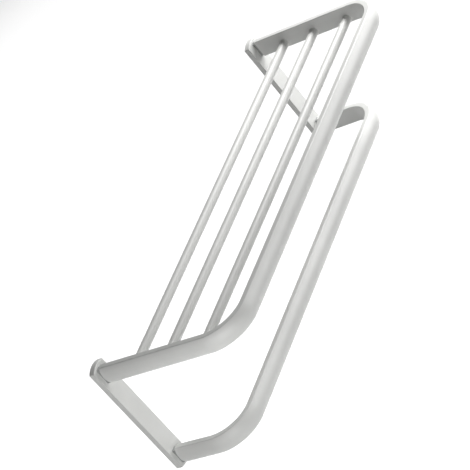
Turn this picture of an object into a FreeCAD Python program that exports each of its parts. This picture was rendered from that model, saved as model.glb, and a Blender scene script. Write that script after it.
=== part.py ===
import FreeCAD, Part
import math
import os

# Wall rack: a deep upper frame with three crossbars, a plain towel rail below it and
# two upright wall plates. Millimetres. The wall is the plane y = 0, the rack stands
# out from it towards -Y, +Z is up and x = 0 is the middle of the rack.

# Overall layout
ARM_X = 300.0  # outer flat edge of the arms, from the middle
RAIL_PITCH = 146.0  # shelf frame centre to towel rail centre
SHELF_DEPTH = 218.0  # wall to the outer flat edge of the shelf's front run
RAIL_DEPTH = 114.0  # the same for the towel rail
ARM_END = 11.5  # wall to the cut end of an arm
BEND_R = 41.0  # bend radius on the inner face

# D-shaped bar: flat inner face, flat top and bottom edges, rounded outer face
SECT_T = 7.0
SECT_BULGE = 4.5
SECT_H = 25.0
SECT_WALL = 1.8
SECT_ROUND = 1.0  # rounding of the two inner edges
BULGE_R = ((SECT_H / 2) ** 2 + SECT_BULGE**2) / (2 * SECT_BULGE)
BULGE_U = SECT_T + SECT_BULGE - BULGE_R  # centre of the rounded face's arc

# Crossbars
BAR_R = 6.0
BAR_WALL = 1.2
BAR_DROP = 5.5  # below the middle of the shelf frame
BARS = {"rear": 52.4, "middle": 102.9, "front": 158.6}  # distance from the wall
PLUG_LENGTH = 14.0
PIN_R = 3.0
FIT = 0.05  # radial clearance of pins and screws

# Wall plates
PLATE_X = 294.7
PLATE_W = 27.5
PLATE_T = 7.5
PLATE_H = 170.0  # straight side, corner to corner
PLATE_ARC = 3.5  # rise of the rounded ends
POCKET_W = 22.5
POCKET_H = 165.0
POCKET_D = 4.1

# Wall brackets hidden in the pockets
BRACKET_W = 21.0
BRACKET_H = 163.0
BRACKET_T = 4.0
BRACKET_BEVEL = 2.0
WALL_HOLE_R = 2.6
WALL_HOLE_SINK_R = 5.0
WALL_HOLE_SPACING = 100.0

# Spigots that carry the arms
NECK = (0.7, 9.0, 11.3)  # inner side, outer side, half height
NECK_ROUND = 1.5
SPIGOT_GAP = 0.1
SPIGOT_LENGTH = 28.5  # inside the arm
SCREW_U = 4.6  # screw axis, measured out from the inner face
SCREW_V = 5.0
M4_R = 2.0
M4_HEAD_R = 3.9
M4_LENGTH = 16.0
M3_R = 1.5
GRUB_U = 4.0  # grub screw axis, measured out from the inner face
GRUB_LENGTH = 8.0
GRUB_FROM_END = 18.0
GRUB_SINK = 0.3  # below the arm's underside
LOCK_Y = 2.3
LOCK_LENGTH = 5.0

V = FreeCAD.Vector
X_AXIS = V(1, 0, 0)
Y_AXIS = V(0, 1, 0)
Z_AXIS = V(0, 0, 1)


def ring(points_and_arcs):
    """Close a list of edges into a face."""
    return Part.Face(Part.Wire(points_and_arcs))


def d_section(inset, inner_round):
    """Profile of the bar in the XZ plane, u along +X from the inner face, inset all round."""
    half = SECT_H / 2 - inset
    radius = BULGE_R - inset
    edge_u = BULGE_U + math.sqrt(radius**2 - half**2)
    left = inset
    crown = BULGE_U + radius
    r = inner_round
    s = r * (1 - math.sqrt(0.5))
    top_left = V(left + r, 0, half)
    low_left = V(left + r, 0, -half)
    side_top = V(left, 0, half - r)
    side_low = V(left, 0, -half + r)
    top_right = V(edge_u, 0, half)
    low_right = V(edge_u, 0, -half)
    return ring([
        Part.LineSegment(top_left, top_right).toShape(),
        Part.Arc(top_right, V(crown, 0, 0), low_right).toShape(),
        Part.LineSegment(low_right, low_left).toShape(),
        Part.Arc(low_left, V(left + s, 0, -half + s), side_low).toShape(),
        Part.LineSegment(side_low, side_top).toShape(),
        Part.Arc(side_top, V(left + s, 0, half - s), top_left).toShape(),
    ])


def mirrored(shape):
    """The same shape on the other side of the rack."""
    return shape.mirror(V(0, 0, 0), X_AXIS)


def u_bar(face, depth, start):
    """Run a profile down one arm, round both bends and along the front."""
    inner_x = ARM_X - SECT_T
    inner_y = -(depth - SECT_T)
    centre = V(inner_x - BEND_R, inner_y + BEND_R, 0)
    arm_face = face.copy()
    arm_face.translate(V(inner_x, -start, 0))
    arm = arm_face.extrude(V(0, centre.y + start, 0))
    bend_face = face.copy()
    bend_face.translate(V(inner_x, centre.y, 0))
    bend = bend_face.revolve(centre, Z_AXIS, -90)
    front_face = face.copy()
    front_face.rotate(V(0, 0, 0), Z_AXIS, -90)
    front_face.translate(V(-centre.x, inner_y, 0))
    front = front_face.extrude(V(2 * centre.x, 0, 0))
    bar = front.fuse([arm, bend, mirrored(arm), mirrored(bend)])
    return bar.removeSplitter()


def hollow_u(depth, centre_z):
    """Bent tube of the D-shaped bar, open at both arm ends."""
    outer = u_bar(d_section(0, SECT_ROUND), depth, ARM_END)
    inner = u_bar(d_section(SECT_WALL, 0.4), depth, ARM_END - 1)
    tube = outer.cut(inner)
    tube.translate(V(0, 0, centre_z))
    return tube


def single(shape):
    """Tidy a result and hand back its one solid."""
    solids = shape.removeSplitter().Solids
    if len(solids) != 1:
        raise RuntimeError("expected one solid, found %d" % len(solids))
    return solids[0]


def grub_hole(centre_z, radius):
    """Hole straight up into the underside of a right-hand arm."""
    start = V(ARM_X - SECT_T + GRUB_U, -(ARM_END + GRUB_FROM_END), centre_z - SECT_H / 2 - 1)
    return Part.makeCylinder(radius, GRUB_LENGTH + 2, start, Z_AXIS)


def shelf_frame(centre_z):
    tube = hollow_u(SHELF_DEPTH, centre_z)
    tools = [grub_hole(centre_z, M3_R + 0.1)]
    for distance in BARS.values():
        start = V(ARM_X - SECT_T - 1, -distance, centre_z - BAR_DROP)
        tools.append(Part.makeCylinder(PIN_R + FIT, SECT_WALL + 2, start, X_AXIS))
    return single(tube.cut(tools + [mirrored(t) for t in tools]))


def towel_rail(centre_z):
    tube = hollow_u(RAIL_DEPTH, centre_z)
    tool = grub_hole(centre_z, M3_R + 0.1)
    return single(tube.cut([tool, mirrored(tool)]))


def crossbar(distance, z):
    half = ARM_X - SECT_T
    start = V(-half, -distance, z)
    outer = Part.makeCylinder(BAR_R, 2 * half, start, X_AXIS)
    inner = Part.makeCylinder(BAR_R - BAR_WALL, 2 * half, start, X_AXIS)
    return single(outer.cut(inner))


def bar_plug(distance, z):
    """Stepped plug in a right-hand bar end, with a pin through the arm's inner wall."""
    face_x = ARM_X - SECT_T
    r = BAR_R - BAR_WALL - 0.02
    body = Part.makeCylinder(r, PLUG_LENGTH, V(face_x - PLUG_LENGTH, -distance, z), X_AXIS)
    lead = Part.makeCone(r - 0.8, r, 0.8, V(face_x - PLUG_LENGTH - 0.8, -distance, z), X_AXIS)
    pin = Part.makeCylinder(PIN_R, SECT_WALL - 0.3, V(face_x, -distance, z), X_AXIS)
    tip = Part.makeCone(
        PIN_R, PIN_R - 0.3, 0.3, V(face_x + SECT_WALL - 0.3, -distance, z), X_AXIS
    )
    return single(body.fuse([lead, pin, tip]))


def rounded_box(u0, u1, half, r, y0, y1):
    """Block with rounded upright edges seen along Y."""
    box = Part.makeBox(u1 - u0, y1 - y0, 2 * half, V(u0, y0, -half))
    edges = [
        e for e in box.Edges
        if abs(e.tangentAt(e.FirstParameter).y) > 0.99
    ]
    return box.makeFillet(r, edges)


def countersink(x, y, z, small, large):
    """Cone that opens towards +Y, its wide end at y."""
    return Part.makeCone(large, small, large - small, V(x, y, z), -Y_AXIS)


def hexagon(x, y, z, axis, radius):
    """Hexagonal face for a screw's socket, square to the axis."""
    turns = [k * math.pi / 3 for k in range(7)]
    if axis == Y_AXIS:
        corners = [V(math.cos(a), 0, math.sin(a)) for a in turns]
    else:
        corners = [V(math.cos(a), math.sin(a), 0) for a in turns]
    return Part.Face(Part.makePolygon([V(x, y, z) + c * radius for c in corners]))


def spigot(centre_z):
    """Neck against the plate and a D-shaped tongue that fills the right-hand arm end."""
    neck = rounded_box(NECK[0], NECK[1], NECK[2], NECK_ROUND, -ARM_END, -PLATE_T)
    face = d_section(SECT_WALL + SPIGOT_GAP, 0.5)
    face.translate(V(0, -ARM_END, 0))
    tongue = face.extrude(V(0, -SPIGOT_LENGTH, 0))
    body = neck.fuse(tongue)
    body.translate(V(ARM_X - SECT_T, 0, centre_z))
    tools = [grub_hole(centre_z, M3_R + FIT)]
    for side in (-1, 1):
        start = V(ARM_X - SECT_T + SCREW_U, 1, centre_z + side * SCREW_V)
        tools.append(Part.makeCylinder(M4_R + FIT, PLATE_T + M4_LENGTH, start, -Y_AXIS))
    return single(body.cut(tools))


def spigot_screws(centre_z):
    """Two countersunk screws from the plate's pocket into a right-hand spigot."""
    solids = []
    for side in (-1, 1):
        x = ARM_X - SECT_T + SCREW_U
        z = centre_z + side * SCREW_V
        top = -(POCKET_D + 0.1)
        head = countersink(x, top, z, M4_R, M4_HEAD_R)
        shank = Part.makeCylinder(M4_R, M4_LENGTH - 0.6, V(x, top, z), -Y_AXIS)
        end = V(x, top - M4_LENGTH + 0.6, z)
        tip = Part.makeCone(M4_R, M4_R - 0.6, 0.6, end, -Y_AXIS)
        drive = hexagon(x, top, z, Y_AXIS, 1.25).extrude(V(0, -1.4, 0))
        solids.append(single(head.fuse([shank, tip]).cut(drive)))
    return Part.makeCompound(solids)


def headless_screw(x, y, z0, length, tip):
    """Headless M3 screw standing on z0, hexagon socket below and cone on top."""
    shank = Part.makeCylinder(M3_R, length - tip, V(x, y, z0), Z_AXIS)
    cone = Part.makeCone(M3_R, M3_R - tip, tip, V(x, y, z0 + length - tip), Z_AXIS)
    drive = hexagon(x, y, z0, Z_AXIS, 0.85).extrude(V(0, 0, 1.6))
    return single(shank.fuse(cone).cut(drive))


def arm_grub_screw(centre_z):
    """Screw through a right-hand arm's underside into its spigot."""
    z0 = centre_z - SECT_H / 2 + GRUB_SINK
    x = ARM_X - SECT_T + GRUB_U
    return headless_screw(x, -(ARM_END + GRUB_FROM_END), z0, GRUB_LENGTH, 0.5)


def plate_outline(half_width, half_height, rise):
    """Upright plate outline with shallow rounded ends, about its own middle."""
    corners = [
        V(-half_width, 0, -half_height),
        V(half_width, 0, -half_height),
        V(half_width, 0, half_height),
        V(-half_width, 0, half_height),
    ]
    return ring([
        Part.Arc(corners[0], V(0, 0, -half_height - rise), corners[1]).toShape(),
        Part.LineSegment(corners[1], corners[2]).toShape(),
        Part.Arc(corners[2], V(0, 0, half_height + rise), corners[3]).toShape(),
        Part.LineSegment(corners[3], corners[0]).toShape(),
    ])


def prism(x, length, side):
    """Straight bar along X from its (y, z) corners."""
    corners = [V(x, y, z) for y, z in side]
    return Part.Face(Part.makePolygon(corners + corners[:1])).extrude(V(length, 0, 0))


def wall_plate():
    """Right-hand plate: pocket at the back, lip at the pocket's top, screw holes."""
    face = plate_outline(PLATE_W / 2, PLATE_H / 2, PLATE_ARC)
    plate = face.extrude(V(0, -PLATE_T, 0))
    front = [e for e in plate.Edges if abs(e.CenterOfMass.y + PLATE_T) < 1e-6]
    plate = plate.makeFillet(0.6, front)
    plate.translate(V(PLATE_X, 0, 0))
    pocket = rounded_box(
        -POCKET_W / 2, POCKET_W / 2, POCKET_H / 2, 2.0, -POCKET_D, 1
    )
    pocket.translate(V(PLATE_X, 0, 0))
    plate = plate.cut(pocket)
    # wedge that hooks behind the top edge of the bracket
    half = BRACKET_W / 2 - 1
    z0 = POCKET_H / 2
    gap = 0.15
    drop = z0 - BRACKET_H / 2 + BRACKET_BEVEL - gap
    wedge = prism(PLATE_X - half, 2 * half, [
        (0, z0 + 0.5), (0, z0 - drop), (-drop, z0), (-drop, z0 + 0.5),
    ])
    plate = plate.fuse(wedge)
    tools = []
    for centre_z in (RAIL_PITCH / 2, -RAIL_PITCH / 2):
        for side in (-1, 1):
            x = ARM_X - SECT_T + SCREW_U
            z = centre_z + side * SCREW_V
            tools.append(Part.makeCylinder(M4_R + 0.15, PLATE_T + 2, V(x, 1, z), -Y_AXIS))
            tools.append(countersink(x, -POCKET_D, z, M4_R + 0.15, M4_HEAD_R + 0.15))
    low = V(PLATE_X, -LOCK_Y, -PLATE_H / 2 - PLATE_ARC - 1)
    tools.append(Part.makeCylinder(M3_R + FIT, 9, low, Z_AXIS))
    return single(plate.cut(tools))


def wall_bracket():
    """Right-hand bracket strip with two countersunk wall holes and bevelled ends."""
    w, h, t, b = BRACKET_W / 2, BRACKET_H / 2, BRACKET_T, BRACKET_BEVEL
    strip = prism(PLATE_X - w, 2 * w, [
        (0, -h + b), (-b, -h), (-t, -h), (-t, h), (-b, h), (0, h - b),
    ])
    tools = []
    for z in (-WALL_HOLE_SPACING / 2, WALL_HOLE_SPACING / 2):
        tools.append(Part.makeCylinder(WALL_HOLE_R, t + 2, V(PLATE_X, 1, z), -Y_AXIS))
        sink = WALL_HOLE_SINK_R - WALL_HOLE_R
        tools.append(Part.makeCone(
            WALL_HOLE_R, WALL_HOLE_SINK_R, sink, V(PLATE_X, -t + sink, z), -Y_AXIS
        ))
    return single(strip.cut(tools))


def lock_screw():
    """Screw in the plate's lower end, its cone just short of the bracket's edge."""
    top = -BRACKET_H / 2 - 0.05
    return headless_screw(PLATE_X, -LOCK_Y, top - LOCK_LENGTH, LOCK_LENGTH, 1.0)


def build():
    shelf_z = RAIL_PITCH / 2
    rail_z = -RAIL_PITCH / 2
    bar_z = shelf_z - BAR_DROP
    nodes = {
        "shelf_frame": shelf_frame(shelf_z),
        "towel_rail": towel_rail(rail_z),
    }
    pairs = {
        "wall_plate": wall_plate(),
        "wall_bracket": wall_bracket(),
        "bracket_lock_screw": lock_screw(),
    }
    for place, distance in BARS.items():
        nodes["crossbar_" + place] = crossbar(distance, bar_z)
        pairs[place + "_crossbar_plug"] = bar_plug(distance, bar_z)
    for place, z in (("shelf", shelf_z), ("rail", rail_z)):
        pairs[place + "_arm_spigot"] = spigot(z)
        pairs[place + "_spigot_screws"] = spigot_screws(z)
        pairs[place + "_arm_grub_screw"] = arm_grub_screw(z)
    for name, shape in pairs.items():
        nodes[name + "_right"] = shape
        nodes[name + "_left"] = mirrored(shape)
    return nodes


def main():
    os.makedirs("parts", exist_ok=True)
    for name, shape in build().items():
        if not shape.isValid():
            raise RuntimeError("invalid shape: " + name)
        shape.exportStep(os.path.join("parts", name + ".step"))


main()
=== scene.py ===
import math

import bmesh
import bpy
from bpy.props import FloatProperty, FloatVectorProperty, IntProperty, PointerProperty
from mathutils import Matrix, Vector


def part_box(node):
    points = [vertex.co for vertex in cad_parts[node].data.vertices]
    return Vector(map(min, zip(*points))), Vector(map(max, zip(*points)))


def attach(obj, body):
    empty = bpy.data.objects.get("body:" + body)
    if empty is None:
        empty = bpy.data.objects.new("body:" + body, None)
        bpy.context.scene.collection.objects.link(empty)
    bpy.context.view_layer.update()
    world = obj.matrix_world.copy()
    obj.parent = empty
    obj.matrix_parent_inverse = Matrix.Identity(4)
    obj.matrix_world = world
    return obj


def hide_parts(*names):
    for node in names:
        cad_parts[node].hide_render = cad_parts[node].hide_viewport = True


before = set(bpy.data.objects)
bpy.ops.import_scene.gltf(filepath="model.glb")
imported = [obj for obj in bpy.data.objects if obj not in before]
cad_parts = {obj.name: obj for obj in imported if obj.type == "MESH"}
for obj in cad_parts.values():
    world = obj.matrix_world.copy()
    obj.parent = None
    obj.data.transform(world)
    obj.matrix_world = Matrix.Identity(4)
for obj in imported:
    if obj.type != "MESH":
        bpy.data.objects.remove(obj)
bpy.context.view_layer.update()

bl_info = {
    "name": "Wall Drying Rack",
    "version": (1, 0, 0),
    "blender": (4, 5, 0),
    "location": "View3D > Sidebar > Rack",
    "description": "Builds the coated frames, bars and wall hardware of a wall drying rack",
    "category": "Object",
}

MM = 0.001
SHELF_LOW, SHELF_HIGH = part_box("shelf_frame")
RAIL_LOW, RAIL_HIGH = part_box("towel_rail")
PLATE_LOW, PLATE_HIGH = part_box("wall_plate_right")
SIDES = (-1, 1)
BARS = ("rear", "middle", "front")
FRAMES = {"shelf": "shelf_frame", "rail": "towel_rail"}

POCKET_HALF_WIDTH = 11.25 * MM
POCKET_HALF_HEIGHT = 82.5 * MM
POCKET_DEPTH = 4.1 * MM
POCKET_CORNER = 2.0 * MM
LIP_HALF_WIDTH = 9.5 * MM
LIP_PROFILE = ((0.0, 83.0), (0.0, 79.65), (-2.85, 82.5), (-2.85, 83.0))
BRACKET_BEVEL = 2.0 * MM
WALL_HOLE_RADIUS = 2.6 * MM
WALL_HOLE_RIM = 5.0 * MM
WALL_HOLE_HEIGHT = 50.0 * MM
M4_RADIUS = 2.0 * MM
M4_CLEARANCE = 2.15 * MM
M4_HOLE = 2.05 * MM
M4_SOCKET = 1.25 * MM
M3_RADIUS = 1.5 * MM
M3_CLEARANCE = 1.6 * MM
M3_HOLE = 1.55 * MM
M3_SOCKET = 0.87 * MM
SOCKET_SIDES = 6
PLUG_STUB_RADIUS = 3.0 * MM
PLUG_HOLE_RADIUS = 3.05 * MM
NECK_MIDDLE = 4.85 * MM
NECK_WIDTH = 8.3 * MM
NECK_ROUND = 1.5 * MM
TONGUE_PLAY = 0.1 * MM
SENSOR_WIDTH = 36.0


# ---------------------------------------------------------------- settings


class RackSizes(bpy.types.PropertyGroup):
    bar_height: FloatProperty(
        name="Bar height", description="Height of the D-shaped bar",
        default=SHELF_HIGH.z - SHELF_LOW.z, unit="LENGTH",
    )
    bar_bulge: FloatProperty(
        name="Bulge", description="Rise of the bar's rounded outer face",
        default=4.5 * MM, unit="LENGTH",
    )
    bar_edge: FloatProperty(
        name="Edge strip", description="Width of the bar's flat top and bottom strips",
        default=7.0 * MM, unit="LENGTH",
    )
    bar_wall: FloatProperty(
        name="Bar wall", description="Wall thickness of the bent tube",
        default=1.8 * MM, unit="LENGTH",
    )
    bend_radius: FloatProperty(
        name="Bend radius", description="Radius of the bends on the bar's inner face",
        default=41.0 * MM, unit="LENGTH",
    )
    edge_round: FloatProperty(
        name="Edge round", description="Softening of the bar's long edges under the coat",
        default=0.8 * MM, unit="LENGTH",
    )
    rung_wall: FloatProperty(
        name="Crossbar wall", description="Wall thickness of the round crossbars",
        default=1.2 * MM, unit="LENGTH",
    )
    rung_fillet: FloatProperty(
        name="Joint fillet", description="Small coat fillet where a crossbar meets an arm",
        default=0.6 * MM, unit="LENGTH",
    )
    plate_round: FloatProperty(
        name="Plate edge round", description="Softening of the wall plate's front edges",
        default=0.7 * MM, unit="LENGTH",
    )
    plate_rise: FloatProperty(
        name="Plate end rise", description="Rise of the wall plate's rounded ends",
        default=3.5 * MM, unit="LENGTH",
    )
    steps: IntProperty(
        name="Bend steps", description="Divisions of each bend", default=32,
    )


class RackFinish(bpy.types.PropertyGroup):
    coat: FloatVectorProperty(
        name="Coat", description="Colour of the white powder coat",
        subtype="COLOR", default=(0.795, 0.80, 0.78), min=0.0, max=1.0,
    )
    coat_roughness: FloatProperty(
        name="Coat roughness", description="Middle roughness of the satin coat", default=0.42,
    )
    zinc: FloatVectorProperty(
        name="Zinc", description="Colour of the plated brackets",
        subtype="COLOR", default=(0.54, 0.55, 0.55), min=0.0, max=1.0,
    )
    steel: FloatVectorProperty(
        name="Screw steel", description="Colour of the screws",
        subtype="COLOR", default=(0.52, 0.52, 0.53), min=0.0, max=1.0,
    )
    nylon: FloatVectorProperty(
        name="Nylon", description="Colour of the crossbar plugs",
        subtype="COLOR", default=(0.74, 0.73, 0.68), min=0.0, max=1.0,
    )


class RackStage(bpy.types.PropertyGroup):
    floor: FloatVectorProperty(
        name="Floor", description="Colour of the pale floor",
        subtype="COLOR", default=(0.95, 0.95, 0.95), min=0.0, max=1.0,
    )
    floor_drop: FloatProperty(
        name="Floor drop", description="Height of the rack's middle above the floor",
        default=1.1, unit="LENGTH",
    )
    world: FloatProperty(
        name="Sky light", description="Strength of the even light all round", default=0.07,
    )
    lens: FloatProperty(
        name="Lens", description="Focal length of the camera", default=171.9, unit="CAMERA",
    )


# ---------------------------------------------------------------- materials


class Finish:
    """A material's node tree with short calls for the nodes used here."""

    def __init__(self, name):
        self.material = bpy.data.materials.new(name)
        self.material.use_nodes = True
        self.tree = self.material.node_tree
        self.shader = self.tree.nodes["Principled BSDF"]
        self.place = self.tree.nodes.new("ShaderNodeTexCoord").outputs["Object"]

    def link(self, a, b):
        self.tree.links.new(a, b)

    def stretched(self, scale):
        node = self.tree.nodes.new("ShaderNodeMapping")
        node.inputs["Scale"].default_value = scale
        self.link(self.place, node.inputs["Vector"])
        return node.outputs["Vector"]

    def noise(self, scale, detail=2.0, roughness=0.5, vector=None):
        node = self.tree.nodes.new("ShaderNodeTexNoise")
        node.inputs["Scale"].default_value = scale
        node.inputs["Detail"].default_value = detail
        node.inputs["Roughness"].default_value = roughness
        self.link(vector or self.place, node.inputs["Vector"])
        return node.outputs["Fac"]

    def cells(self, scale):
        node = self.tree.nodes.new("ShaderNodeTexVoronoi")
        node.inputs["Scale"].default_value = scale
        self.link(self.place, node.inputs["Vector"])
        return node.outputs["Color"]

    def span(self, value, low, high, start=0.3, end=0.7):
        node = self.tree.nodes.new("ShaderNodeMapRange")
        node.inputs["From Min"].default_value = start
        node.inputs["From Max"].default_value = end
        node.inputs["To Min"].default_value = low
        node.inputs["To Max"].default_value = high
        self.link(value, node.inputs["Value"])
        return node.outputs["Result"]

    def colours(self, factor, first, second):
        node = self.tree.nodes.new("ShaderNodeMix")
        node.data_type = "RGBA"
        node.inputs["A"].default_value = (*first, 1.0)
        node.inputs["B"].default_value = (*second, 1.0)
        self.link(factor, node.inputs["Factor"])
        return node.outputs["Result"]

    def add(self, first, second, operation="ADD"):
        node = self.tree.nodes.new("ShaderNodeMath")
        node.operation = operation
        self.link(first, node.inputs[0])
        if isinstance(second, (int, float)):
            node.inputs[1].default_value = second
        else:
            self.link(second, node.inputs[1])
        return node.outputs["Value"]

    def attribute(self, name):
        node = self.tree.nodes.new("ShaderNodeAttribute")
        node.attribute_name = name
        return node.outputs["Fac"]

    def bump(self, height, distance, strength=1.0):
        node = self.tree.nodes.new("ShaderNodeBump")
        node.inputs["Distance"].default_value = distance
        node.inputs["Strength"].default_value = strength
        self.link(height, node.inputs["Height"])
        self.link(node.outputs["Normal"], self.shader.inputs["Normal"])


def shade(colour, factor):
    return tuple(min(1.0, c * factor) for c in colour)


def coat_finish(finish):
    """White satin powder coat: soft orange peel, faint clouding, painted shade that greys the
    rounded edges, which are also glossier.
    """
    f = Finish("white_powder_coat")
    peel = f.noise(420.0, 3.0, 0.55)
    cloud = f.noise(14.0, 4.0, 0.6)
    # painted shade: the edge layer darkens the coat colour along the rounded edges
    edge_shade = f.add(f.attribute("edge"), -0.5, "MULTIPLY")
    tone = f.add(f.span(cloud, 0.65, 1.0), edge_shade)
    colour = f.colours(tone, shade(finish.coat, 0.80), shade(finish.coat, 1.02))
    f.link(colour, f.shader.inputs["Base Color"])
    rough = f.span(f.noise(90.0, 3.0), finish.coat_roughness - 0.05, finish.coat_roughness + 0.05)
    thin = f.add(f.attribute("edge"), -0.10, "MULTIPLY")
    f.link(f.add(rough, thin), f.shader.inputs["Roughness"])
    f.bump(peel, 0.04 * MM, 0.5)
    return f.material


def zinc_finish(finish):
    """Plated strip: spangled grain under fine drawing lines."""
    f = Finish("plated_zinc")
    spangle = f.cells(260.0)
    lines = f.noise(300.0, 3.0, 0.5, f.stretched((9.0, 9.0, 0.6)))
    tone = f.add(f.span(spangle, 0.0, 0.6, 0.0, 1.0), f.span(lines, 0.0, 0.4))
    colour = f.colours(tone, shade(finish.zinc, 0.86), shade(finish.zinc, 1.10))
    f.link(colour, f.shader.inputs["Base Color"])
    f.shader.inputs["Metallic"].default_value = 1.0
    f.link(f.span(lines, 0.30, 0.46), f.shader.inputs["Roughness"])
    f.bump(lines, 0.02 * MM, 0.4)
    return f.material


def steel_finish(finish):
    """Bright screw steel with turning marks."""
    f = Finish("screw_steel")
    marks = f.noise(1400.0, 3.0, 0.6)
    tone = f.span(marks, 0.0, 1.0)
    colour = f.colours(tone, shade(finish.steel, 0.85), shade(finish.steel, 1.12))
    f.link(colour, f.shader.inputs["Base Color"])
    f.shader.inputs["Metallic"].default_value = 1.0
    f.link(f.span(marks, 0.24, 0.42), f.shader.inputs["Roughness"])
    f.bump(marks, 0.01 * MM, 0.5)
    return f.material


def nylon_finish(finish):
    """Moulded natural nylon."""
    f = Finish("moulded_nylon")
    grain = f.noise(700.0, 2.0)
    tone = f.span(grain, 0.0, 1.0)
    colour = f.colours(tone, shade(finish.nylon, 0.95), shade(finish.nylon, 1.04))
    f.link(colour, f.shader.inputs["Base Color"])
    f.link(f.span(grain, 0.5, 0.62), f.shader.inputs["Roughness"])
    f.shader.inputs["Subsurface Weight"].default_value = 0.1
    f.shader.inputs["Subsurface Radius"].default_value = (0.001, 0.001, 0.0008)
    f.bump(grain, 0.02 * MM, 0.4)
    return f.material


MAKERS = {"coat": coat_finish, "zinc": zinc_finish, "screw": steel_finish, "nylon": nylon_finish}
NAMES = {
    "coat": "white_powder_coat", "zinc": "plated_zinc",
    "screw": "screw_steel", "nylon": "moulded_nylon",
}


def material(slot):
    """The finish for a record slot, made on first use."""
    found = bpy.data.materials.get(NAMES[slot])
    return found or MAKERS[slot](bpy.context.scene.rack_finish)


# ---------------------------------------------------------------- mesh helpers


def verts_of(geometry):
    return [g for g in geometry if isinstance(g, bmesh.types.BMVert)]


def edges_of(geometry):
    return [g for g in geometry if isinstance(g, bmesh.types.BMEdge)]


def faces_of(geometry):
    return [g for g in geometry if isinstance(g, bmesh.types.BMFace)]


def extend(bm, edges, move):
    """Draw open edge loops out along a straight stretch; returns the far loops."""
    made = bmesh.ops.extrude_edge_only(bm, edges=edges)["geom"]
    fresh = set(verts_of(made))
    bmesh.ops.translate(bm, verts=list(fresh), vec=move)
    return [e for e in edges_of(made) if all(v in fresh for v in e.verts)]


def run(bm, edges, move):
    """A straight stretch with a holding loop near each end."""
    step = move.normalized() * 1.5 * MM
    edges = extend(bm, edges, step)
    edges = extend(bm, edges, move - step * 2)
    return extend(bm, edges, step)


def turn(bm, edges, centre, axis, angle, steps):
    """Sweep edge loops round an axis; returns the far loops."""
    made = bmesh.ops.spin(
        bm, geom=edges, cent=centre, axis=axis, angle=angle, steps=steps, use_duplicate=False
    )
    return edges_of(made["geom_last"])


def chain(bm, points):
    """Join a few points with edges."""
    verts = [bm.verts.new(p) for p in points]
    edges = [bm.edges.new(ends) for ends in zip(verts, verts[1:])]
    return verts, edges


def edge_layer(bm):
    """The layer that notes the middle of a rounded edge, where painted shade greys the coat and
    the coat is glossier.
    """
    return bm.verts.layers.float.get("edge") or bm.verts.layers.float.new("edge")


def soften(bm, edges, offset, segments=3):
    """Round edges and mark the strip they leave, which the coat darkens as painted shade."""
    layer = edge_layer(bm)
    made = bmesh.ops.bevel(
        bm, geom=edges, offset=offset, offset_type="OFFSET", segments=segments,
        profile=0.5, affect="EDGES", material=-1, clamp_overlap=True,
    )
    strip = set(made["faces"])
    for vert in made["verts"]:
        if all(f in strip for f in vert.link_faces):
            vert[layer] = 1.0


def solid(bm, holes=()):
    """Close a shape, drill its holes and return the mesh."""
    bmesh.ops.remove_doubles(bm, verts=bm.verts[:], dist=0.002 * MM)
    bmesh.ops.recalc_face_normals(bm, faces=bm.faces[:])
    loose = [e for e in bm.edges if len(e.link_faces) != 2]
    if loose:
        raise RuntimeError("%d open edges" % len(loose))
    mesh = bpy.data.meshes.new("solid")
    bm.to_mesh(mesh)
    bm.free()
    if holes:
        mesh = drilled(mesh, holes)
    mesh.shade_smooth()
    mesh.set_sharp_from_angle(angle=math.radians(38))
    return mesh


def hole(start, end, radius, sides=32, sink=None):
    """A straight hole; sink is the (radius, distance) of a cone's rim and of its foot."""
    start, end = Vector(start), Vector(end)
    length = (end - start).length
    profile = [(radius, 0.0)]
    if sink:
        profile = [(sink[0], 0.0), (sink[0], sink[1]), (radius, sink[2])]
    return start, (end - start).normalized(), profile + [(radius, length)], sides


def drilled(mesh, holes):
    """Cut holes out of a mesh."""
    bm = bmesh.new()
    for start, axis, profile, sides in holes:
        closed = [(0.0, profile[0][1]), *profile, (0.0, profile[-1][1])]
        turned(bm, start, axis, closed, sides)
    bmesh.ops.remove_doubles(bm, verts=bm.verts[:], dist=0.002 * MM)
    bmesh.ops.recalc_face_normals(bm, faces=bm.faces[:])
    drill = bpy.data.meshes.new("drill")
    bm.to_mesh(drill)
    bm.free()
    body = bpy.data.objects.new("body", mesh)
    cutter = bpy.data.objects.new("cutter", drill)
    for piece in (body, cutter):
        bpy.context.scene.collection.objects.link(piece)
    cut = body.modifiers.new("cut", "BOOLEAN")
    cut.operation = "DIFFERENCE"
    cut.solver = "EXACT"
    cut.use_self = True
    cut.object = cutter
    seen = body.evaluated_get(bpy.context.evaluated_depsgraph_get())
    result = bpy.data.meshes.new_from_object(seen)
    for piece in (body, cutter):
        data = piece.data
        bpy.data.objects.remove(piece)
        bpy.data.meshes.remove(data)
    return result


def publish(mesh, name, slot, *nodes):
    """Put a finished mesh on the rack in place of its frame nodes."""
    mesh.name = name
    mesh.materials.clear()
    mesh.materials.append(material(slot))
    piece = bpy.data.objects.new(name, mesh)
    bpy.context.scene.collection.objects.link(piece)
    even = piece.modifiers.new("even_shading", "WEIGHTED_NORMAL")
    even.weight = 100
    even.keep_sharp = True
    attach(piece, "root")
    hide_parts(*nodes)
    return piece


def pair(mesh, name, slot, node):
    """Publish a right-hand mesh and its mirror image."""
    other = mesh.copy()
    other.transform(Matrix.Scale(-1, 4, (1, 0, 0)))
    other.flip_normals()
    publish(mesh, name + "_right", slot, node + "_right")
    publish(other, name + "_left", slot, node + "_left")


def turned(bm, at, axis, profile, sides=32):
    """Turn a (radius, distance) profile round an axis through a point."""
    axis = Vector(axis)
    out = axis.orthogonal().normalized()
    _, edges = chain(bm, [at + axis * along + out * radius for radius, along in profile])
    bmesh.ops.spin(
        bm, geom=edges, cent=at, axis=axis, angle=2 * math.pi, steps=sides,
        use_merge=True, use_duplicate=False,
    )


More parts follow.
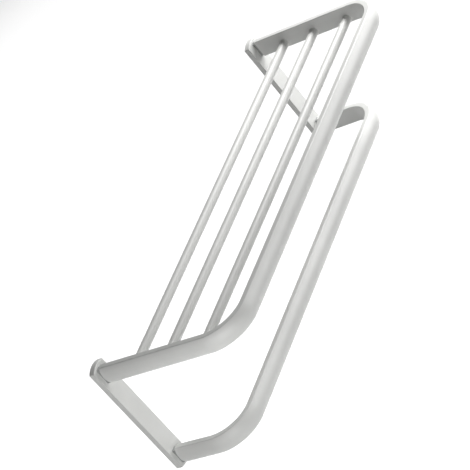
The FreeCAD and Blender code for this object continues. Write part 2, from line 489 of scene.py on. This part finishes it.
def thread(radius, depth, pitch, start, end):
    """Profile points of a threaded stretch."""
    points = []
    turns = max(1, int((end - start) / pitch))
    step = (end - start) / turns
    for k in range(turns):
        low = start + k * step
        points += [(radius, low + 0.12 * step), (radius, low + 0.28 * step),
                   (radius - depth, low + 0.60 * step), (radius - depth, low + 0.80 * step)]
    return points


# ---------------------------------------------------------------- bent frames


def bar_loop(bm, sizes, at, inset):
    """One closed loop of the D-shaped section, flat side towards the rack's middle."""
    half = sizes.bar_height / 2
    bulge_r = (half**2 + sizes.bar_bulge**2) / (2 * sizes.bar_bulge)
    centre_u = sizes.bar_edge + sizes.bar_bulge - bulge_r
    half -= inset
    bulge_r -= inset
    angle = math.asin(half / bulge_r)
    layer = edge_layer(bm)
    before = set(bm.edges)
    vert = bm.verts.new(at + Vector((centre_u + bulge_r * math.cos(angle), 0, half)))
    arc = bmesh.ops.spin(
        bm, geom=[vert], cent=at + Vector((centre_u, 0, 0)), axis=(0, 1, 0),
        angle=2 * angle, steps=28, use_duplicate=False,
    )
    last = verts_of(arc["geom_last"])[0]
    low = bm.verts.new(at + Vector((inset, 0, -half)))
    high = bm.verts.new(at + Vector((inset, 0, half)))
    for ends in ((last, low), (low, high), (high, vert)):
        bm.edges.new(ends)
    old = set(bm.faces)
    bmesh.ops.edgeloop_fill(bm, edges=[e for e in bm.edges if e not in before])
    rounds = sizes.edge_round * (0.5 if inset else 1.0)
    made = bmesh.ops.bevel(
        bm, geom=[vert, last, low, high], offset=rounds, offset_type="OFFSET", segments=4,
        profile=0.5, affect="VERTICES", material=-1, clamp_overlap=True,
    )
    # mark the middle of each rounded corner so the coat paints shade along it
    for corner in made["verts"]:
        if all(e.calc_length() < 0.6 * rounds for e in corner.link_edges):
            corner[layer] = 1.0
    face = [f for f in bm.faces if f not in old][0]
    loop = list(face.edges)
    bmesh.ops.delete(bm, geom=[face], context="FACES_ONLY")
    return loop


def bent_frame(sizes, low, high):
    """Hollow U of the D-shaped bar between two box corners of its frame node."""
    bm = bmesh.new()
    inner_x = high.x - sizes.bar_edge - sizes.bar_bulge
    bend_x = inner_x - sizes.bend_radius
    bend_y = low.y + sizes.bar_edge + sizes.bar_bulge + sizes.bend_radius
    at = Vector((inner_x, high.y, (low.z + high.z) / 2))
    outer = bar_loop(bm, sizes, at, 0.0)
    inner = bar_loop(bm, sizes, at, sizes.bar_wall)
    bmesh.ops.bridge_loops(bm, edges=outer + inner)
    rim = [outer]
    ends = []
    for loop in (outer, inner):
        edges = run(bm, loop, Vector((0, bend_y - high.y, 0)))
        edges = turn(bm, edges, (bend_x, bend_y, 0), (0, 0, 1), -math.pi / 2, sizes.steps)
        edges = run(bm, edges, Vector((-2 * bend_x, 0, 0)))
        edges = turn(bm, edges, (-bend_x, bend_y, 0), (0, 0, 1), -math.pi / 2, sizes.steps)
        ends.append(run(bm, edges, Vector((0, high.y - bend_y, 0))))
    bmesh.ops.bridge_loops(bm, edges=ends[0] + ends[1])
    rim.append(ends[0])
    soften(bm, rim[0] + rim[1], 0.3 * MM, 2)
    return bm


def grub_holes(part, radius):
    """Holes in the underside of both arms of a frame, for its grub screws."""
    low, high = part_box(part + "_arm_grub_screw_right")
    middle = (low + high) / 2
    holes = []
    for sign in SIDES:
        start = Vector((sign * middle.x, middle.y, low.z - 3.0 * MM))
        end = Vector((sign * middle.x, middle.y, high.z + 2.0 * MM))
        holes.append(hole(start, end, radius, 24))
    return holes


class RACK_OT_shelf_frame(bpy.types.Operator):
    """Bent upper frame that carries the crossbars"""

    bl_idname = "rack.shelf_frame"
    bl_label = "Shelf frame"

    def execute(self, context):
        bm = bent_frame(context.scene.rack_sizes, SHELF_LOW, SHELF_HIGH)
        holes = grub_holes("shelf", M3_CLEARANCE)
        for place in BARS:
            low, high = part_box(place + "_crossbar_plug_right")
            middle = (low + high) / 2
            for sign in SIDES:
                inner = Vector((sign * (high.x - 3.0 * MM), middle.y, middle.z))
                outer = Vector((sign * (high.x + 1.0 * MM), middle.y, middle.z))
                holes.append(hole(inner, outer, PLUG_HOLE_RADIUS))
        publish(solid(bm, holes), "shelf_frame_coated", "coat", "shelf_frame")
        return {"FINISHED"}


class RACK_OT_towel_rail(bpy.types.Operator):
    """Bent lower rail"""

    bl_idname = "rack.towel_rail"
    bl_label = "Towel rail"

    def execute(self, context):
        bm = bent_frame(context.scene.rack_sizes, RAIL_LOW, RAIL_HIGH)
        mesh = solid(bm, grub_holes("rail", M3_CLEARANCE))
        publish(mesh, "towel_rail_coated", "coat", "towel_rail")
        return {"FINISHED"}


class RACK_OT_crossbars(bpy.types.Operator):
    """Round crossbars with a small fillet against each arm"""

    bl_idname = "rack.crossbars"
    bl_label = "Crossbars"

    def execute(self, context):
        sizes = context.scene.rack_sizes
        for place in BARS:
            low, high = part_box("crossbar_" + place)
            radius = (high.z - low.z) / 2
            middle = (low + high) / 2
            axis = Vector((0, middle.y, middle.z))
            end = high.x
            fillet = sizes.rung_fillet
            bm = bmesh.new()
            up = Vector((0, 0, 1))
            out = Vector((1, 0, 0))
            verts, _ = chain(bm, [
                axis + up * (radius - sizes.rung_wall),
                axis + out * end + up * (radius - sizes.rung_wall),
                axis + out * end + up * (radius + fillet),
            ])
            arc = bmesh.ops.spin(
                bm, geom=[verts[-1]], cent=axis + out * (end - fillet) + up * (radius + fillet),
                axis=(0, 1, 0), angle=math.pi / 2, steps=5, use_duplicate=False,
            )
            last = verts_of(arc["geom_last"])[0]
            near = bm.verts.new(last.co - out * 1.5 * MM)
            mid = bm.verts.new(Vector((0, middle.y, last.co.z)))
            bm.edges.new((last, near))
            bm.edges.new((near, mid))
            bmesh.ops.spin(
                bm, geom=bm.edges[:], cent=axis, axis=(1, 0, 0), angle=2 * math.pi,
                steps=56, use_merge=True, use_duplicate=False,
            )
            bmesh.ops.mirror(bm, geom=bm.verts[:] + bm.edges[:] + bm.faces[:], axis="X",
                             merge_dist=0.01 * MM)
            name = "crossbar_" + place
            publish(solid(bm), name + "_coated", "coat", name)
        return {"FINISHED"}


# ---------------------------------------------------------------- wall hardware


def spigot_screw_places(part):
    """Axis points of the two screws of a right-hand spigot, and their head radius."""
    low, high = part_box(part + "_spigot_screws_right")
    middle = (low + high) / 2
    head = (high.x - low.x) / 2
    reach = (high.z - low.z) / 2 - head
    return [Vector((middle.x, high.y, middle.z + s * reach)) for s in (-1, 1)], head, low.y


class RACK_OT_wall_plates(bpy.types.Operator):
    """Upright plates with shallow rounded ends, a pocket at the back and a hooked lip"""

    bl_idname = "rack.wall_plates"
    bl_label = "Wall plates"

    def execute(self, context):
        sizes = context.scene.rack_sizes
        low, high = PLATE_LOW, PLATE_HIGH
        middle = (low + high) / 2
        half = (high.x - low.x) / 2
        rise = sizes.plate_rise
        corner = high.z - rise
        radius = (half**2 + rise**2) / (2 * rise)
        sweep = 2 * math.asin(half / radius)
        bm = bmesh.new()
        ends = []
        for sign in (1, -1):
            start = bm.verts.new((middle.x - sign * half, 0, sign * corner))
            arc = bmesh.ops.spin(
                bm, geom=[start], cent=(middle.x, 0, sign * (high.z - radius)),
                axis=(0, 1, 0), angle=sweep, steps=20, use_duplicate=False,
            )
            ends.append((start, verts_of(arc["geom_last"])[0]))
        bm.edges.new((ends[0][1], ends[1][0]))
        bm.edges.new((ends[1][1], ends[0][0]))
        outline = bm.edges[:]
        front = extend(bm, outline, Vector((0, low.y, 0)))
        bmesh.ops.edgeloop_fill(bm, edges=front)
        uprights = [
            e for e in bm.edges
            if abs(e.verts[0].co.y - e.verts[1].co.y) > 1.0 * MM
            and abs(abs(e.verts[0].co.z) - corner) < 1e-6
        ]
        soften(bm, [e for e in front + uprights if e.is_valid], sizes.plate_round, 4)
        rear = [e for e in bm.edges if e.is_boundary]
        pocket = self.pocket_loop(bm, middle.x)
        floor = extend(bm, pocket, Vector((0, -POCKET_DEPTH, 0)))
        bmesh.ops.edgeloop_fill(bm, edges=floor)
        bmesh.ops.bridge_loops(bm, edges=rear + pocket)
        self.lip(bm, middle.x)
        mesh = solid(bm, self.holes(middle.x, low))
        pair(mesh, "wall_plate_coated", "coat", "wall_plate")
        return {"FINISHED"}

    def pocket_loop(self, bm, x):
        """Rounded outline of the pocket for the bracket, on the wall plane."""
        corners = [
            (x + across * POCKET_HALF_WIDTH, 0, up * POCKET_HALF_HEIGHT)
            for across, up in ((-1, -1), (1, -1), (1, 1), (-1, 1))
        ]
        old = set(bm.faces)
        face = bm.faces.new([bm.verts.new(corner) for corner in corners])
        bmesh.ops.bevel(
            bm, geom=list(face.verts), offset=POCKET_CORNER, offset_type="OFFSET", segments=5,
            profile=0.5, affect="VERTICES", material=-1, clamp_overlap=True,
        )
        face = [f for f in bm.faces if f not in old][0]
        loop = list(face.edges)
        bmesh.ops.delete(bm, geom=[face], context="FACES_ONLY")
        return loop

    def lip(self, bm, x):
        """Wedge at the pocket's top that hooks behind the bracket's bevelled end."""
        side = [(x - LIP_HALF_WIDTH, y * MM, z * MM) for y, z in LIP_PROFILE]
        face = bm.faces.new([bm.verts.new(corner) for corner in side])
        made = bmesh.ops.extrude_face_region(bm, geom=[face])["geom"]
        bmesh.ops.translate(bm, verts=verts_of(made), vec=(2 * LIP_HALF_WIDTH, 0, 0))

    def holes(self, x, low):
        """Spigot screw holes with countersinks, and the lock screw hole."""
        holes = []
        for part in FRAMES:
            places, head, _ = spigot_screw_places(part)
            for place in places:
                start = Vector((place.x, MM - POCKET_DEPTH, place.z))
                end = Vector((place.x, low.y - 1.6 * MM, place.z))
                rim = head + 0.25 * MM
                foot = MM + rim - M4_CLEARANCE
                holes.append(hole(start, end, M4_CLEARANCE, sink=(rim, MM, foot)))
        grub_low, grub_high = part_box("bracket_lock_screw_right")
        grub = (grub_low + grub_high) / 2
        start = Vector((grub.x, grub.y, low.z - MM))
        end = Vector((grub.x, grub.y, grub_high.z + MM))
        holes.append(hole(start, end, M3_HOLE, 24))
        return holes


class RACK_OT_spigots(bpy.types.Operator):
    """Necks and D-shaped tongues that join the arms to the plates"""

    bl_idname = "rack.spigots"
    bl_label = "Arm spigots"

    def execute(self, context):
        sizes = context.scene.rack_sizes
        for part, node in FRAMES.items():
            name = part + "_arm_spigot"
            low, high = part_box(name + "_right")
            arm_low, arm_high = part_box(node)
            inner_x = arm_high.x - sizes.bar_edge - sizes.bar_bulge
            middle_z = (low.z + high.z) / 2
            bm = bmesh.new()
            at = Vector((inner_x, arm_high.y + 0.2 * MM, middle_z))
            root = bar_loop(bm, sizes, at, sizes.bar_wall + TONGUE_PLAY)
            tip = extend(bm, root, Vector((0, low.y - at.y, 0)))
            bmesh.ops.edgeloop_fill(bm, edges=tip)
            bmesh.ops.edgeloop_fill(bm, edges=root)
            soften(bm, tip, 0.5 * MM, 2)
            neck = Matrix.Translation((
                inner_x + NECK_MIDDLE, (arm_high.y + high.y) / 2, middle_z,
            ))
            size = (NECK_WIDTH, high.y - arm_high.y, high.z - low.z, 1.0)
            neck = neck @ Matrix.Diagonal(size)
            made = bmesh.ops.create_cube(bm, size=1.0, matrix=neck)["verts"]
            long_edges = {
                e for v in made for e in v.link_edges
                if abs(e.verts[0].co.y - e.verts[1].co.y) > MM
            }
            soften(bm, list(long_edges), NECK_ROUND, 5)
            holes = grub_holes(part, M3_HOLE)[1:]
            places, _, reach = spigot_screw_places(part)
            for place in places:
                end = Vector((place.x, reach - 3.0 * MM, place.z))
                start = Vector((place.x, MM, place.z))
                holes.append(hole(start, end, M4_HOLE))
            # the darker plated zinc on the necks is painted shade for the gap between arm end and
            # plate; the neck's own finish is a guess
            pair(solid(bm, holes), name + "_cast", "zinc", name)
        return {"FINISHED"}


class RACK_OT_brackets(bpy.types.Operator):
    """Hidden strips that are screwed to the wall, with bevelled ends"""

    bl_idname = "rack.brackets"
    bl_label = "Wall brackets"

    def execute(self, context):
        low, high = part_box("wall_bracket_right")
        middle = (low + high) / 2
        bm = bmesh.new()
        block = Matrix.Translation(middle) @ Matrix.Diagonal((*(high - low), 1.0))
        bmesh.ops.create_cube(bm, size=1.0, matrix=block)
        ends = [
            e for e in bm.edges
            if all(abs(v.co.y) < 1e-6 for v in e.verts)
            and abs(e.verts[0].co.z - e.verts[1].co.z) < 1e-6
        ]
        bmesh.ops.bevel(
            bm, geom=ends, offset=BRACKET_BEVEL, offset_type="OFFSET", segments=1,
            profile=0.5, affect="EDGES", material=-1, clamp_overlap=True,
        )
        soften(bm, [e for e in bm.edges if e.verts[0].co.y < -3.9 * MM
                    and e.verts[1].co.y < -3.9 * MM], 0.35 * MM, 3)
        holes = []
        for z in (-WALL_HOLE_HEIGHT, WALL_HOLE_HEIGHT):
            start = Vector((middle.x, low.y - MM, z))
            sink = (WALL_HOLE_RIM, MM, MM + WALL_HOLE_RIM - WALL_HOLE_RADIUS)
            end = Vector((middle.x, MM, z))
            holes.append(hole(start, end, WALL_HOLE_RADIUS, 40, sink))
        pair(solid(bm, holes), "wall_bracket_plated", "zinc", "wall_bracket")
        return {"FINISHED"}


class RACK_OT_screws(bpy.types.Operator):
    """Spigot screws, arm grub screws and bracket lock screws"""

    bl_idname = "rack.screws"
    bl_label = "Screws"

    def execute(self, context):
        for part in FRAMES:
            self.spigot_screws(part)
            self.grub_screw(part + "_arm_grub_screw", 0.5 * MM)
        self.grub_screw("bracket_lock_screw", 1.0 * MM)
        return {"FINISHED"}

    def spigot_screws(self, part):
        """Two countersunk M4 screws with hexagon sockets."""
        places, head, reach = spigot_screw_places(part)
        bm = bmesh.new()
        holes = []
        for place in places:
            length = place.y - reach
            sink = head - M4_RADIUS
            profile = [(0.0, 0.0), (head - 0.15 * MM, 0.0), (head, 0.12 * MM)]
            profile.append((M4_RADIUS, sink))
            profile += thread(M4_RADIUS, 0.38 * MM, 0.7 * MM, sink + 1.5 * MM, length - 0.7 * MM)
            profile += [(1.4 * MM, length - 0.3 * MM), (1.1 * MM, length), (0.0, length)]
            turned(bm, place, (0, -1, 0), profile)
            top = place + Vector((0, 0.5 * MM, 0))
            end = place - Vector((0, 1.4 * MM, 0))
            holes.append(hole(top, end, M4_SOCKET, SOCKET_SIDES))
        pair(solid(bm, holes), part + "_spigot_screws_steel", "screw", part + "_spigot_screws")

    def grub_screw(self, node, tip):
        """Headless M3 screw, socket below and cone on top."""
        low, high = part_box(node + "_right")
        middle = (low + high) / 2
        at = Vector((middle.x, middle.y, low.z))
        length = high.z - low.z
        bm = bmesh.new()
        profile = [(0.0, 0.0), (1.2 * MM, 0.0)]
        profile += thread(M3_RADIUS, 0.27 * MM, 0.5 * MM, 0.2 * MM, length - tip)
        profile += [(M3_RADIUS - tip, length), (0.0, length)]
        turned(bm, at, (0, 0, 1), profile)
        up = Vector((0, 0, 1))
        end = at + up * 1.6 * MM
        holes = [hole(at - up * 0.5 * MM, end, M3_SOCKET, SOCKET_SIDES)]
        pair(solid(bm, holes), node + "_steel", "screw", node)


class RACK_OT_plugs(bpy.types.Operator):
    """Ribbed plugs inside the crossbar ends"""

    bl_idname = "rack.plugs"
    bl_label = "Crossbar plugs"

    def execute(self, context):
        for place in BARS:
            name = place + "_crossbar_plug"
            low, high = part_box(name + "_right")
            middle = (low + high) / 2
            radius = (high.z - low.z) / 2
            body = high.x - low.x - 1.8 * MM
            at = Vector((low.x, middle.y, middle.z))
            profile = [(0.0, 0.0), (radius - 0.8 * MM, 0.0)]
            for k in range(4):
                start = (0.8 + 3.3 * k) * MM
                profile += [(radius, start), (radius, start + 1.6 * MM),
                            (radius - 0.5 * MM, start + 2.2 * MM),
                            (radius - 0.5 * MM, start + 2.9 * MM)]
            stub = PLUG_STUB_RADIUS
            profile += [(radius, body - 0.8 * MM), (radius, body), (stub, body),
                        (stub, body + 1.5 * MM), (stub - 0.3 * MM, body + 1.8 * MM),
                        (0.0, body + 1.8 * MM)]
            bm = bmesh.new()
            turned(bm, at, (1, 0, 0), profile)
            pair(solid(bm), name + "_moulded", "nylon", name)
        return {"FINISHED"}


# ---------------------------------------------------------------- stage


LAMPS = {
    "far_high": ((0.9, -0.3, 0.7), (0.135, -0.1, 0.0), 0.5, 12.5),
    "far_front": ((1.4, -0.9, 0.3), (0.21, -0.1, 0.0), 0.6, 5.6),
    "front_right": ((1.1, -1.3, 0.0), (0.165, -0.1, 0.0), 0.7, 8.0),
    "left_side": ((-2.0, 0.0, 0.2), (-0.3, -0.1, 0.0), 0.8, 2.8),
    "near_corner": ((-0.8, -0.45, 0.1), (-0.3, -0.15, 0.0), 0.4, 2.0),
    "back_fill": ((0.7, 1.7, 0.05), (0.0, 0.0, 0.0), 0.8, 10.0),
    "floor_wash": ((1.7, 1.6, -0.75), (1.7, 1.6, -1.1), 4.0, 58.0),
    "front_wash": ((-3.6, -3.6, -0.75), (-3.6, -3.6, -1.1), 5.5, 38.0),
}


def soft_box(name, place, target, size, power):
    """Square lamp aimed at a point, out of the camera's sight."""
    data = bpy.data.lights.new(name, "AREA")
    data.shape = "SQUARE"
    data.size = size
    data.energy = power
    lamp = bpy.data.objects.new(name, data)
    lamp.location = place
    aim = Vector(target) - Vector(place)
    lamp.rotation_euler = aim.to_track_quat("-Z", "Y").to_euler()
    lamp.visible_camera = False
    bpy.context.scene.collection.objects.link(lamp)


class RACK_OT_stage(bpy.types.Operator):
    """Pale floor, soft studio light and the camera"""

    bl_idname = "rack.stage"
    bl_label = "Stage"

    def execute(self, context):
        scene = context.scene
        stage = scene.rack_stage
        bm = bmesh.new()
        bmesh.ops.create_grid(bm, x_segments=8, y_segments=8, size=14.0)
        bmesh.ops.translate(bm, verts=bm.verts[:], vec=(2.0, 2.0, -stage.floor_drop))
        mesh = bpy.data.meshes.new("floor")
        bm.to_mesh(mesh)
        bm.free()
        f = Finish("pale_floor")
        tone = f.span(f.noise(1.5, 3.0), 0.0, 1.0)
        colour = f.colours(tone, shade(stage.floor, 0.99), stage.floor)
        f.link(colour, f.shader.inputs["Base Color"])
        f.shader.inputs["Roughness"].default_value = 0.9
        mesh.materials.append(f.material)
        floor = bpy.data.objects.new("floor", mesh)
        scene.collection.objects.link(floor)

        world = bpy.data.worlds.new("studio")
        world.use_nodes = True
        sky = world.node_tree.nodes["Background"]
        sky.inputs["Color"].default_value = (1.0, 1.0, 1.0, 1.0)
        sky.inputs["Strength"].default_value = stage.world
        scene.world = world

        for name, settings in LAMPS.items():
            soft_box(name, *settings)

        data = bpy.data.cameras.new("camera")
        data.lens = stage.lens
        data.sensor_width = SENSOR_WIDTH
        data.clip_end = 50.0
        camera = bpy.data.objects.new("camera", data)
        camera.location = (-1.8408, -1.7747, 1.2432)
        camera.rotation_euler = [math.radians(a) for a in (56.967, 36.121, -67.538)]
        scene.collection.objects.link(camera)
        scene.camera = camera
        scene.view_settings.view_transform = "Standard"
        return {"FINISHED"}


# ---------------------------------------------------------------- add-on


class RACK_PT_panel(bpy.types.Panel):
    """Sidebar list of the rack's pieces and settings"""

    bl_idname = "RACK_PT_panel"
    bl_label = "Wall drying rack"
    bl_space_type = "VIEW_3D"
    bl_region_type = "UI"
    bl_category = "Rack"

    def draw(self, context):
        for group in ("rack_sizes", "rack_finish", "rack_stage"):
            settings = getattr(context.scene, group)
            box = self.layout.box()
            for key in settings.bl_rna.properties.keys():
                if key not in ("name", "rna_type"):
                    box.prop(settings, key)
        for operator in PIECES:
            self.layout.operator(operator.bl_idname)


PIECES = (
    RACK_OT_shelf_frame,
    RACK_OT_towel_rail,
    RACK_OT_crossbars,
    RACK_OT_wall_plates,
    RACK_OT_spigots,
    RACK_OT_brackets,
    RACK_OT_screws,
    RACK_OT_plugs,
    RACK_OT_stage,
)
CLASSES = (RackSizes, RackFinish, RackStage) + PIECES + (RACK_PT_panel,)


def register():
    for cls in CLASSES:
        bpy.utils.register_class(cls)
    bpy.types.Scene.rack_sizes = PointerProperty(type=RackSizes)
    bpy.types.Scene.rack_finish = PointerProperty(type=RackFinish)
    bpy.types.Scene.rack_stage = PointerProperty(type=RackStage)


def unregister():
    for name in ("rack_sizes", "rack_finish", "rack_stage"):
        delattr(bpy.types.Scene, name)
    for cls in reversed(CLASSES):
        bpy.utils.unregister_class(cls)


def main():
    register()
    for operator in PIECES:
        group, name = operator.bl_idname.split(".")
        getattr(getattr(bpy.ops, group), name)()


if __name__ == "__main__":
    main()
